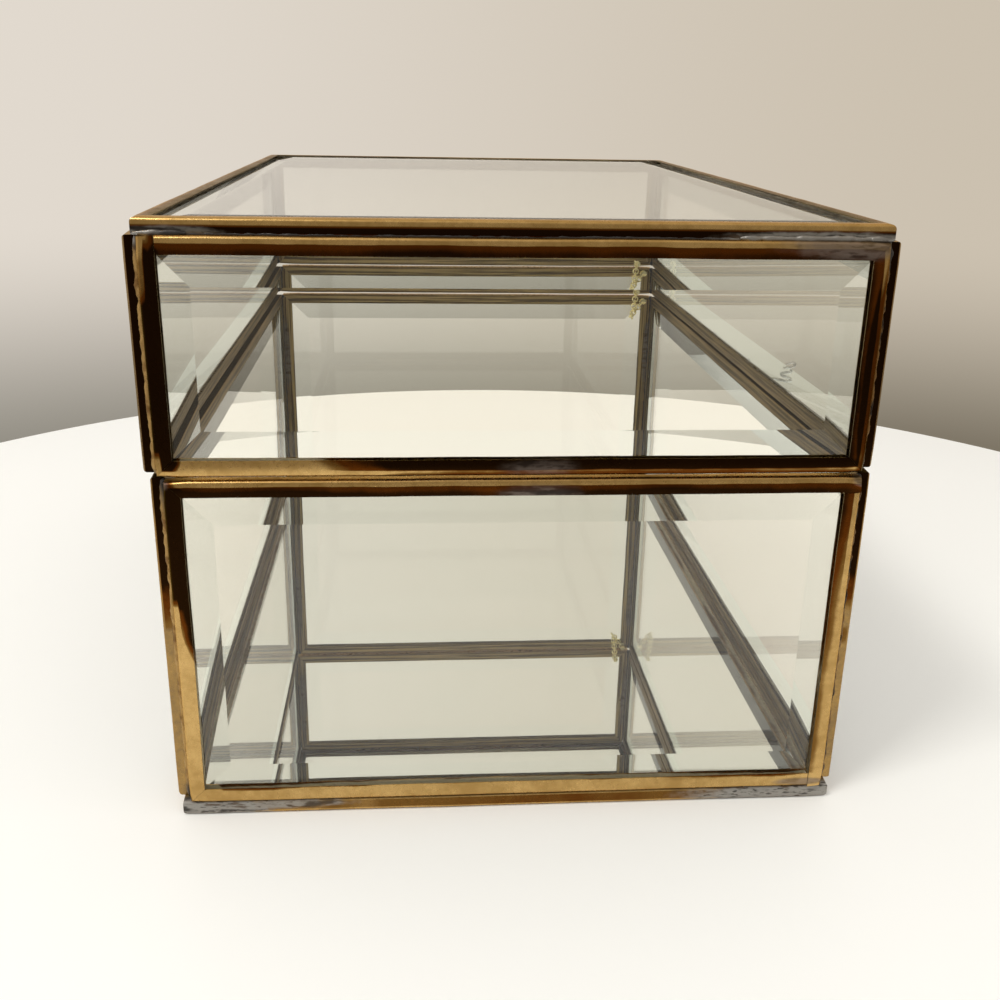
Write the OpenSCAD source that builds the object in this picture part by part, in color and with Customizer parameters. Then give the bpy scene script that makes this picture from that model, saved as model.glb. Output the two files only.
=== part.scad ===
// Glass casket box: bevelled panes in folded brass came, with a hinged lid and a mirror floor.
// Millimetres, +Z up. The open end of the lid is at -X, the hinge runs along Y on the +X side.
// The origin is under the middle of the bounding box, on the surface that the box stands on.

/* [Box] */
// Width of the base across its side panels
base_w = 202; // [120:1:320]
// Length of the base and the lid, along the hinge
box_d = 305; // [180:1:420]
// Height of the base, floor plate included
base_h = 106; // [60:1:200]
// Height of the lid, top plate included
lid_h = 68.1; // [40:0.1:140]
// How far the lid reaches past the base on its opening side
lid_overhang = 1.5; // [0:0.5:6]
// Gap between the rims of the closed box
seam_gap = 0.9; // [0.4:0.1:2]
// How far the floor plate stands in from the outer faces of the side walls
floor_inset = 1.8; // [0.6:0.1:3]
// How far the floor plate stands in from the outer faces of the end walls
floor_end_inset = 0.3; // [0.3:0.1:3]
// How far the top plate stands in from the outer faces of the walls
top_inset = 2.5; // [0.6:0.1:3]

/* [Came] */
// Width of the came's face around each pane
came_face = 4.8; // [4:0.1:8]
// Thickness of the came, which is the thickness of every panel
came_t = 4.2; // [4:0.1:6]
// Sheet thickness of the came's two flanges
came_wall = 0.45; // [0.3:0.05:0.6]
// Thickness of the came's folded back
came_back = 0.8; // [0.7:0.05:1.2]
// Radius of the two rounded edges of the came's back
came_r = 1.2; // [0.6:0.1:1.4]
// Radius of the came's fold at the corners of a panel
corner_r = 1.6; // [0.6:0.1:2]

/* [Glass] */
// Clearance between a pane and its came
glass_fit = 0.05; // [0.03:0.01:0.1]
// Width of the ground bevel, from the edge of the pane
bevel_w = 12; // [8:0.5:20]
// Depth that the bevel is ground away at the edge of the pane
bevel_depth = 1.1; // [0.5:0.1:1.5]

/* [Solder] */
// Radius of the solder bead along each upright corner
bead_r = 1.6; // [1.3:0.1:2]
// How far each bead stops short of the ends of its corner
bead_short = 1.5; // [1:0.5:5]

/* [Hinge] */
// Distance between the middles of neighbouring hinge tubes
hinge_pitch = 86; // [70:1:110]
// Length of the two outer hinge tubes
outer_tube_l = 64; // [30:1:64]
// Length of the middle hinge tube
middle_tube_l = 48; // [20:1:60]
// Outside radius of a hinge tube
tube_r = 1.5; // [1.2:0.05:1.8]
// Radius of the hinge wire
wire_r = 0.6; // [0.4:0.05:0.7]
// Radial clearance of the wire in its tube
wire_fit = 0.05; // [0.03:0.01:0.1]
// Gap between the end of a tube and the leg of the wire
leg_gap = 0.4; // [0.3:0.1:1]
// Length of each upturned leg of the wire, from the hinge axis
leg_l = 4.8; // [4.6:0.1:5.4]
// Length of each solder tack between a tube and the base
tack_l = 6; // [3:1:10]
// Distance from the end of a tube to its tack
tack_in = 3; // [1:1:6]
// How far a tack stands out from the wall
tack_t = 0.8; // [0.6:0.1:1]
// How far a tack reaches below the hinge axis
tack_h = 4; // [3.6:0.1:5]
// Radius of the solder pad on a leg of the wire
pad_r = 1.4; // [1:0.1:1.5]
// Thickness of the solder pad on a leg of the wire
pad_t = 0.9; // [0.7:0.1:1.2]
// Height of a solder pad above the rounded edge of the came
pad_up = 0.2; // [0.1:0.1:0.5]

/* [Stay chain] */
// Outside radius of a chain ring
ring_r = 1.7; // [1.6:0.05:1.9]
// Radius of the wire that a chain ring is made of
ring_wire_r = 0.35; // [0.3:0.01:0.36]
// Number of rings in the half that hangs from the base
lower_rings = 6; // [5:1:7]
// Number of rings in the half that hangs from the lid
upper_rings = 8; // [7:1:9]
// Distance from the base's chain post to the hinge-side wall
lower_post_in = 4.5; // [4:0.1:6]
// Distance from the lid's chain post to the hinge-side wall
upper_post_in = 9.0; // [8.5:0.1:12]
// Radius of a chain post
post_r = 0.55; // [0.4:0.05:0.6]
// Radius of the head of a chain post
head_r = 1.3; // [1.2:0.05:1.6]
// Thickness of the head of a chain post
head_t = 0.6; // [0.4:0.1:1]
// Clearance between neighbouring parts of the chain
chain_gap = 0.3; // [0.3:0.05:0.5]

/* [Hidden] */
$fn = 48;
ring_fn = 24;
bend_fn = 20;
old_brass = [0.55, 0.38, 0.16];
dark_brass = [0.27, 0.13, 0.05];
bright_brass = [0.80, 0.66, 0.30];
solder_grey = [0.42, 0.42, 0.43];
clear_glass = [0.78, 0.86, 0.83, 0.35];
silvered = [0.85, 0.87, 0.88];

lid_w = base_w + lid_overhang;
lid_x = -lid_overhang / 2;
wall_x = base_w / 2;
wall_y = box_d / 2;
rim_z = base_h;
lid_rim_z = base_h + seam_gap;
top_z = lid_rim_z + lid_h;
base_wall_h = base_h - came_t;
lid_wall_h = lid_h - came_t;
glass_t = came_t - 2 * (came_wall + glass_fit);
slot_t = glass_t + 2 * glass_fit;
pane_in = came_back + glass_fit;

// The hinge axis lies in the valley between the rounded rims, one fit away from both of them,
// or further out where the legs of the wire would meet the lid's wall.
rim_arc_z = came_r + seam_gap / 2;
rim_arc_x = sqrt(pow(came_r + tube_r + wire_fit, 2) - pow(rim_arc_z, 2));
hinge_x = wall_x + max(rim_arc_x - came_r, wire_r + wire_fit);
hinge_z = base_h + seam_gap / 2;
leg_y = leg_gap + wire_r;

// The curled end of the front wire, from the top of its leg: outwards, back and outwards again.
tail = [[0, 0, 0], [0.4, 0, 1.8], [7, 0, 2.4], [4.6, 0.6, 4.2], [9, 1, 6.6]];
tail_reach = tail[4][0] + wire_r;
box_x = -(hinge_x + tail_reach - wall_x - lid_overhang) / 2;

// Chain geometry, in the plane across the hinge.
ring_mid_r = ring_r - ring_wire_r;
ring_pitch = (ring_r + ring_mid_r * 2 - ring_wire_r * 2) / 2;
ring_offset = ring_mid_r - ring_wire_r - post_r - wire_fit;
lower_arm = ring_offset + (lower_rings - 1) * ring_pitch;
upper_arm = ring_offset + (upper_rings - 1) * ring_pitch;
inner_x = wall_x - came_t;
inner_y = wall_y - came_t;
lower_post = [inner_x - lower_post_in, rim_z - came_face / 2];
upper_post = [inner_x - upper_post_in, lid_rim_z + came_face / 2];
post_gap = norm(upper_post - lower_post);
post_dir = atan2(upper_post[1] - lower_post[1], upper_post[0] - lower_post[0]);
lower_turn = acos((pow(post_gap, 2) + pow(lower_arm, 2) - pow(upper_arm, 2)) / (2 * post_gap * lower_arm));
lower_dir = post_dir + lower_turn;
elbow = lower_post + lower_arm * [cos(lower_dir), sin(lower_dir)];
upper_dir = atan2(elbow[1] - upper_post[1], elbow[0] - upper_post[0]);
lower_chain_y = inner_y - ring_r - chain_gap;
upper_chain_y = lower_chain_y - 2 * ring_r - chain_gap;

// ---- Shapes that repeat ----

// Rectangle with rounded corners, from the origin to size.
module round_rect(size, r) {
    translate([r, 0]) square([size[0] - 2 * r, size[1]]);
    translate([0, r]) square([size[0], size[1] - 2 * r]);
    for (x = [r, size[0] - r], y = [r, size[1] - r])
        translate([x, y]) circle(r);
}

// A section drawn in XY, swept l along Y: its Y becomes Z.
module along_y(l) {
    translate([0, l, 0]) rotate([90, 0, 0]) linear_extrude(l) children();
}

// A section drawn in XY, swept l along X: its X becomes Y and its Y becomes Z.
module along_x(l) {
    rotate([90, 0, 90]) linear_extrude(l) children();
}

// A panel lies flat: centred on X, its foot along Y = 0, its inner face at Z = 0 and its outer face up.
// One strip of U-section came with a rounded back, folded round a w by h panel.
module came(w, h) {
    slot_w = w - 2 * came_back;
    slot_h = h - 2 * came_back;
    translate([-w / 2, 0, 0])
        difference() {
            intersection() {
                along_y(h) round_rect([w, came_t], came_r);
                along_x(w) round_rect([h, came_t], came_r);
                linear_extrude(came_t) round_rect([w, h], corner_r);
            }
            translate([came_face, came_face, -1])
                cube([w - 2 * came_face, h - 2 * came_face, came_t + 2]);
            translate([came_back, came_back, came_wall]) cube([slot_w, slot_h, slot_t]);
        }
}

// Section of a pane that is l wide, flat on its inner face and bevelled on its outer face.
module pane_section(l) {
    edge_t = glass_t - bevel_depth;
    polygon([[0, 0], [l, 0], [l, edge_t], [l - bevel_w, glass_t], [bevel_w, glass_t], [0, edge_t]]);
}

// The pane that a w by h came holds, bevelled all round.
module pane(w, h) {
    pane_w = w - 2 * pane_in;
    pane_h = h - 2 * pane_in;
    translate([-pane_w / 2, pane_in, came_wall + glass_fit])
        intersection() {
            along_y(pane_h) pane_section(pane_w);
            along_x(pane_w) pane_section(pane_h);
        }
}

// Everything is drawn round the middle of the base and then moved over the origin.
module placed() {
    translate([box_x, 0, 0]) children();
}

// Stands a panel up as a wall: its outer face lies at reach from the middle and faces angle.
module wall(angle, reach, z) {
    placed() translate([0, 0, z]) rotate([0, 0, angle]) translate([0, came_t - reach, 0])
        rotate([90, 0, 0]) children();
}

module base_end(angle) wall(angle, wall_y, came_t) children();
module base_side(angle) wall(angle, wall_x, came_t) children();
module lid_end(angle) translate([lid_x, 0, 0]) wall(angle, wall_y, lid_rim_z) children();
module lid_side(angle) translate([lid_x, 0, 0]) wall(angle, lid_w / 2, lid_rim_z) children();

base_end_w = base_w - 2 * came_t;
lid_end_w = lid_w - 2 * came_t;
side_l = box_d - 2 * came_t;

// Solder along an upright corner: what lies between the end panel at -X, -Y and the side at +X, +Y.
module corner_bead(h) {
    arm = 2 * bead_r + came_r;
    linear_extrude(h)
        difference() {
            circle(bead_r);
            translate([-arm, -came_t]) round_rect([arm, came_t], came_r);
            round_rect([came_t, arm], came_r);
        }
}

// The four corner beads of a box that is end_w wide between its sides.
module corner_beads(end_w, z, h) {
    for (sx = [0, 1], sy = [0, 1])
        mirror([sx, 0, 0]) mirror([0, sy, 0])
            translate([end_w / 2, came_t - wall_y, z + bead_short]) corner_bead(h - 2 * bead_short);
}

// A straight stretch of bent wire, from p to q.
module bent_wire(p, q) {
    hull() {
        translate(p) sphere(wire_r, $fn = bend_fn);
        translate(q) sphere(wire_r, $fn = bend_fn);
    }
}

module at_hinge(y) {
    placed() translate([hinge_x, y, hinge_z]) children();
}

// Tube of length l, soldered along the rim of the base.
module hinge_tube(l) {
    rotate([90, 0, 0])
        difference() {
            cylinder(l, tube_r, tube_r, center = true);
            cylinder(l + 2, wire_r + wire_fit, wire_r + wire_fit, center = true);
        }
}

// Two solder tacks under a tube of length l.
module tube_tacks(l) {
    difference() {
        for (s = [-1, 1])
            translate([wall_x - hinge_x, s * (l / 2 - tack_in - tack_l / 2) - tack_l / 2, -tack_h])
                cube([tack_t, tack_l, tack_h - tube_r / 2]);
        rotate([90, 0, 0]) cylinder(l, tube_r, tube_r, center = true);
    }
}

// Wire through a tube of length l, with both ends turned up along the lid.
module hinge_wire(l) {
    end_y = l / 2 + leg_y;
    rotate([90, 0, 0]) cylinder(2 * end_y, wire_r, wire_r, center = true);
    for (s = [-1, 1])
        translate([0, s * end_y, 0]) {
            sphere(wire_r);
            cylinder(leg_l, wire_r, wire_r);
            translate([0, 0, leg_l]) sphere(wire_r);
        }
}

// Solder pads that hold the two legs of a wire to the lid.
module leg_pads(l) {
    for (s = [-1, 1])
        translate([0, s * (l / 2 + leg_y), 0])
            difference() {
                translate([wall_x - hinge_x, 0, rim_arc_z + pad_up + pad_r])
                    rotate([0, 90, 0]) cylinder(pad_t, pad_r, pad_r);
                cylinder(2 * leg_l, wire_r, wire_r);
            }
}

// Post with a head, from the inner face of the end wall to just past the ring that it carries.
module chain_post(post, chain_y) {
    head_y = chain_y - ring_r - chain_gap / 2;
    placed() translate([post[0], 0, post[1]]) {
        translate([0, inner_y, 0]) rotate([90, 0, 0]) cylinder(inner_y - head_y, post_r, post_r);
        translate([0, head_y, 0]) rotate([90, 0, 0]) cylinder(head_t, head_r, head_r);
    }
}

// Rings from a post towards dir, every second one turned across the first.
module chain_half(post, chain_y, dir, rings) {
    placed() translate([post[0], chain_y, post[1]]) rotate([0, -dir, 0])
        for (i = [0 : rings - 1])
            translate([ring_offset + i * ring_pitch, 0, 0]) rotate([90 * ((i + 1) % 2), 0, 0])
                rotate_extrude($fn = ring_fn) translate([ring_mid_r, 0]) circle(ring_wire_r);
}

// ---- Base ----

module base_front_came() color(old_brass) base_end(0) came(base_end_w, base_wall_h);
module base_front_glass() color(clear_glass) base_end(0) pane(base_end_w, base_wall_h);
module base_rear_came() color(old_brass) base_end(180) came(base_end_w, base_wall_h);
module base_rear_glass() color(clear_glass) base_end(180) pane(base_end_w, base_wall_h);
module base_left_came() color(old_brass) base_side(-90) came(side_l, base_wall_h);
module base_left_glass() color(clear_glass) base_side(-90) pane(side_l, base_wall_h);
module base_right_came() color(old_brass) base_side(90) came(side_l, base_wall_h);
module base_right_glass() color(clear_glass) base_side(90) pane(side_l, base_wall_h);

floor_w = base_w - 2 * floor_inset;
floor_d = box_d - 2 * floor_end_inset;

module base_floor_came() {
    color(old_brass) placed() translate([0, -floor_d / 2, 0]) came(floor_w, floor_d);
}

module base_mirror() {
    mirror_w = floor_w - 2 * pane_in;
    mirror_d = floor_d - 2 * pane_in;
    color(silvered) placed() translate([-mirror_w / 2, -mirror_d / 2, came_wall + glass_fit])
        cube([mirror_w, mirror_d, glass_t]);
}

module base_corner_solder() {
    color(solder_grey) placed() corner_beads(base_end_w, came_t, base_wall_h);
}

// ---- Lid ----

module lid_front_came() color(dark_brass) lid_end(0) came(lid_end_w, lid_wall_h);
module lid_front_glass() color(clear_glass) lid_end(0) pane(lid_end_w, lid_wall_h);
module lid_rear_came() color(dark_brass) lid_end(180) came(lid_end_w, lid_wall_h);
module lid_rear_glass() color(clear_glass) lid_end(180) pane(lid_end_w, lid_wall_h);
module lid_left_came() color(dark_brass) lid_side(-90) came(side_l, lid_wall_h);
module lid_left_glass() color(clear_glass) lid_side(-90) pane(side_l, lid_wall_h);
module lid_right_came() color(dark_brass) lid_side(90) came(side_l, lid_wall_h);
module lid_right_glass() color(clear_glass) lid_side(90) pane(side_l, lid_wall_h);

top_w = lid_w - 2 * top_inset;
top_d = box_d - 2 * top_inset;

module lid_top() {
    placed() translate([lid_x, -top_d / 2, top_z - came_t]) children();
}

module lid_top_came() color(dark_brass) lid_top() came(top_w, top_d);
module lid_top_glass() color(clear_glass) lid_top() pane(top_w, top_d);

module lid_corner_solder() {
    color(solder_grey) placed() translate([lid_x, 0, 0]) corner_beads(lid_end_w, lid_rim_z, lid_wall_h);
}

// ---- Hinge ----

module hinge_tube_front() color(dark_brass) at_hinge(-hinge_pitch) hinge_tube(outer_tube_l);
module hinge_tube_middle() color(dark_brass) at_hinge(0) hinge_tube(middle_tube_l);
module hinge_tube_rear() color(dark_brass) at_hinge(hinge_pitch) hinge_tube(outer_tube_l);

module base_hinge_solder() color(solder_grey) {
    for (s = [-1, 1]) at_hinge(s * hinge_pitch) tube_tacks(outer_tube_l);
    at_hinge(0) tube_tacks(middle_tube_l);
}

module hinge_wire_front() color(solder_grey) at_hinge(-hinge_pitch) {
    hinge_wire(outer_tube_l);
    translate([0, outer_tube_l / 2 + leg_y, leg_l])
        for (i = [1 : len(tail) - 1]) bent_wire(tail[i - 1], tail[i]);
}

module hinge_wire_middle() color(solder_grey) at_hinge(0) hinge_wire(middle_tube_l);
module hinge_wire_rear() color(solder_grey) at_hinge(hinge_pitch) hinge_wire(outer_tube_l);

module lid_hinge_solder() color(solder_grey) {
    for (s = [-1, 1]) at_hinge(s * hinge_pitch) leg_pads(outer_tube_l);
    at_hinge(0) leg_pads(middle_tube_l);
}

// ---- Stay chain ----

module base_chain_post() color(old_brass) chain_post(lower_post, lower_chain_y);
module lid_chain_post() color(old_brass) chain_post(upper_post, upper_chain_y);
module chain_lower_rings() color(bright_brass) chain_half(lower_post, lower_chain_y, lower_dir, lower_rings);
module chain_upper_rings() color(bright_brass) chain_half(upper_post, upper_chain_y, upper_dir, upper_rings);

base_front_came();
base_front_glass();
base_rear_came();
base_rear_glass();
base_left_came();
base_left_glass();
base_right_came();
base_right_glass();
base_floor_came();
base_mirror();
base_corner_solder();
lid_front_came();
lid_front_glass();
lid_rear_came();
lid_rear_glass();
lid_left_came();
lid_left_glass();
lid_right_came();
lid_right_glass();
lid_top_came();
lid_top_glass();
lid_corner_solder();
hinge_tube_front();
hinge_tube_middle();
hinge_tube_rear();
base_hinge_solder();
hinge_wire_front();
hinge_wire_middle();
hinge_wire_rear();
lid_hinge_solder();
base_chain_post();
lid_chain_post();
chain_lower_rings();
chain_upper_rings();
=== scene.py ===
import math
import random

import bmesh
import bpy
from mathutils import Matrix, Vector


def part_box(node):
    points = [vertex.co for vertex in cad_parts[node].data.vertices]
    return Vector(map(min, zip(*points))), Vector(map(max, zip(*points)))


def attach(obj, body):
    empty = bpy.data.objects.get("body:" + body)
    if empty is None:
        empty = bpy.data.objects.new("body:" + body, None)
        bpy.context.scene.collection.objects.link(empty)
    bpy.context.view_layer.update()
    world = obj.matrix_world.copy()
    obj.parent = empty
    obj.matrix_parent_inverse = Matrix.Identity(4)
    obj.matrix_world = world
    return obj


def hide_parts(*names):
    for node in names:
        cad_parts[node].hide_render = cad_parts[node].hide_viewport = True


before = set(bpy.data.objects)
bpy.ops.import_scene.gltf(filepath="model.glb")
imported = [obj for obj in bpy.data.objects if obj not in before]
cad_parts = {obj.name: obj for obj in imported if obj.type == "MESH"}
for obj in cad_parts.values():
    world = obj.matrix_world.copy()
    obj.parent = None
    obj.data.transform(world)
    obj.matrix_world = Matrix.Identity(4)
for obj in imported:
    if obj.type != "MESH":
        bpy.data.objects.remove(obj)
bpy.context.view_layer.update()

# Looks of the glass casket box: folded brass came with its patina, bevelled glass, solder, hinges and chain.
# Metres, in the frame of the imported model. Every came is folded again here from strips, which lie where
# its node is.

MM = 0.001
X, Y, Z = 0, 1, 2
# Points nearer to each other than this are one.
SAME = 0.001 * MM

# ---------------------------------------------------------------- camera

PICTURE_PX = 1000
FOCAL_PX = 1125.0
SENSOR_MM = 36.0
# The middle of the base, from the node that it stands on.
floor_lo, floor_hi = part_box("base_floor_came")
MID_X = (floor_lo[X] + floor_hi[X]) / 2
CAMERA_AT = Vector((MID_X - 28.88 * MM, -443.7 * MM, 205.5 * MM))
# In radians.
CAMERA_DOWN, CAMERA_LEFT, CAMERA_ROLL = 0.3465, -0.0801, -0.0188


def make_camera():
    data = bpy.data.cameras.new("camera")
    data.sensor_width = SENSOR_MM
    data.lens = FOCAL_PX / PICTURE_PX * SENSOR_MM
    data.clip_start, data.clip_end = 0.01, 60
    obj = bpy.data.objects.new("camera", data)
    bpy.context.collection.objects.link(obj)
    obj.location = CAMERA_AT
    obj.rotation_mode = "XYZ"
    # Tilted and turned first, then rolled about its own line of sight.
    obj.rotation_euler = (math.pi / 2 - CAMERA_DOWN, 0, CAMERA_LEFT)
    obj.rotation_euler.rotate_axis("Z", -CAMERA_ROLL)
    bpy.context.scene.camera = obj


make_camera()

# ---------------------------------------------------------------- shader maths


class Term:
    """A socket that takes part in sums. An expression adds its Math nodes to the finish."""

    def __init__(self, finish, socket):
        self.finish, self.socket = finish, socket

    def __add__(self, other):
        return self.finish.math("ADD", self, other)

    def __radd__(self, other):
        return self.finish.math("ADD", other, self)

    def __sub__(self, other):
        return self.finish.math("SUBTRACT", self, other)

    def __rsub__(self, other):
        return self.finish.math("SUBTRACT", other, self)

    def __mul__(self, other):
        return self.finish.math("MULTIPLY", self, other)

    def __rmul__(self, other):
        return self.finish.math("MULTIPLY", other, self)

    def __abs__(self):
        return self.finish.math("ABSOLUTE", self)


class Finish:
    """One material, or the world, and the few calls that build its nodes."""

    def __init__(self, name, tree=None):
        if tree is None:
            self.material = bpy.data.materials.new(name)
            self.material.use_nodes = True
            tree = self.material.node_tree
        self.nodes, self.links = tree.nodes, tree.links
        self.nodes.clear()

    def plug(self, socket, value):
        if isinstance(value, Term):
            self.links.new(value.socket, socket)
        elif isinstance(value, tuple) and len(value) == 3 and socket.type == "RGBA":
            socket.default_value = (*value, 1)
        elif value is not None:
            socket.default_value = value

    def node(self, kind, inputs=None, out=0, **settings):
        made = self.nodes.new(kind)
        for key, value in settings.items():
            setattr(made, key, value)
        for key, value in (inputs or {}).items():
            self.plug(made.inputs[key], value)
        return Term(self, made.outputs[out])

    def math(self, operation, *values):
        return self.node("ShaderNodeMath", dict(enumerate(values)), operation=operation)

    def clamp(self, value):
        return self.node("ShaderNodeClamp", {0: value})

    def place(self):
        return self.node("ShaderNodeTexCoord", out="Object")

    def facing(self):
        return self.node("ShaderNodeTexCoord", out="Normal")

    def axis(self, which, of=None):
        return self.node("ShaderNodeSeparateXYZ", {0: of or self.place()}, out=which)

    def ease(self, value, low, high, start=0.0, end=1.0):
        """start below low, end above high, and a smooth step between."""
        ranges = {"Value": value, "From Min": low, "From Max": high, "To Min": start, "To Max": end}
        return self.node("ShaderNodeMapRange", ranges, interpolation_type="SMOOTHSTEP")

    def blend(self, share, a, b):
        """Colour a where share is 0 and colour b where it is 1."""
        # A Mix node has sockets for each type of data: 0, 6 and 7 in and 2 out are the ones for colour.
        mix = self.node("ShaderNodeMix", data_type="RGBA", out=2)
        for i, value in ((0, share), (6, a), (7, b)):
            self.plug(mix.socket.node.inputs[i], value)
        return mix

    def spot(self, centre, radii, ragged=0.5, soft=0.3, grain=230):
        """1 inside an oval round centre, in metres, and 0 outside. Its edge is ragged and soft."""
        at = self.node("ShaderNodeVectorMath", {0: self.place(), 1: centre}, operation="SUBTRACT")
        at = self.node("ShaderNodeVectorMath", {0: at, 1: radii}, operation="DIVIDE")
        away = self.node("ShaderNodeVectorMath", {0: at}, out=1, operation="LENGTH")
        return self.ease(away + (self.noise(grain, 4) - 0.5) * ragged * 2, 0.97 + soft / 2, 0.97 - soft / 2)

    def noise(self, scale, detail=3.0, stretch=(1, 1, 1), shift=(0, 0, 0)):
        place = self.node("ShaderNodeMapping", {"Vector": self.place(), "Location": shift, "Scale": stretch})
        return self.node("ShaderNodeTexNoise", {"Vector": place, "Scale": scale, "Detail": detail})

    def bump(self, height, distance, strength=1.0):
        return self.node("ShaderNodeBump", {"Height": height, "Distance": distance, "Strength": strength})

    def surface(self, shader, output="ShaderNodeOutputMaterial"):
        out = self.nodes.new(output)
        self.links.new(shader.socket, out.inputs["Surface"])

    def principled(self, inputs):
        return self.node("ShaderNodeBsdfPrincipled", inputs)


# ---------------------------------------------------------------- finishes

GOLD = (0.62, 0.405, 0.155)
OLD_GOLD = (0.43, 0.265, 0.088)
TAN = (0.40, 0.30, 0.17)
OLD_TAN = (0.22, 0.15, 0.075)
OLIVE = (0.19, 0.095, 0.022)
RED_BROWN = (0.115, 0.032, 0.004)
NEAR_BLACK = (0.016, 0.0065, 0.0018)
PALE_BRASS = (0.88, 0.78, 0.60)
BRIGHT_SOLDER = (0.62, 0.62, 0.60)
SOLDER = (0.37, 0.358, 0.335)
BROWN_SOLDER = (0.23, 0.19, 0.165)
DARK_SOLDER = (0.16, 0.15, 0.14)
FLUX_BROWN = (0.15, 0.115, 0.09)
FLUX_BLACK = (0.045, 0.04, 0.038)
HIDDEN_BROWN = (0.205, 0.150, 0.062)
HIDDEN_DARK = (0.036, 0.027, 0.011)
HIDDEN_GOLD = (0.46, 0.33, 0.13)
HIDDEN_OLIVE = (0.085, 0.055, 0.018)
STRIP_UV = "strip"
# Where the colour turns olive, then red brown, then near black, on a scale from 0, bare brass, to 1. The
# scale carries the patina and also the painted shade and reflections.
TO_OLIVE, TO_BROWN, TO_BLACK = (0.12, 0.38), (0.38, 0.60), (0.68, 0.96)
# Added to the layout across a strip on its inner wall, which the glass covers.
SHELTER = 0.1
# Streaks in a metre along a strip and across it.
STREAKS = (16, 820, 1)
# The middle of the seam between base and lid, and how far from it the black of the seam, dark patina and
# painted shade, begins and is whole.
SEAM_Z = (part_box("base_left_came")[1][Z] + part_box("lid_left_came")[0][Z]) / 2
SEAM_REACH = (3 * MM, 2 * MM)
# The inner edge of the lid's front top rail, where its brightening over all its width, wear and painted
# light, begins and is whole.
FRONT_RAIL_Y = (-0.1448, -0.1456)
# One over half the width of the box and over half its depth.
PER_HALF_WIDTH, PER_HALF_DEPTH = 10, 6.6
# A face turned this far to the middle of the box begins to count as inside, and then does wholly.
TURNED_IN = (-0.4, -0.8)


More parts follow.
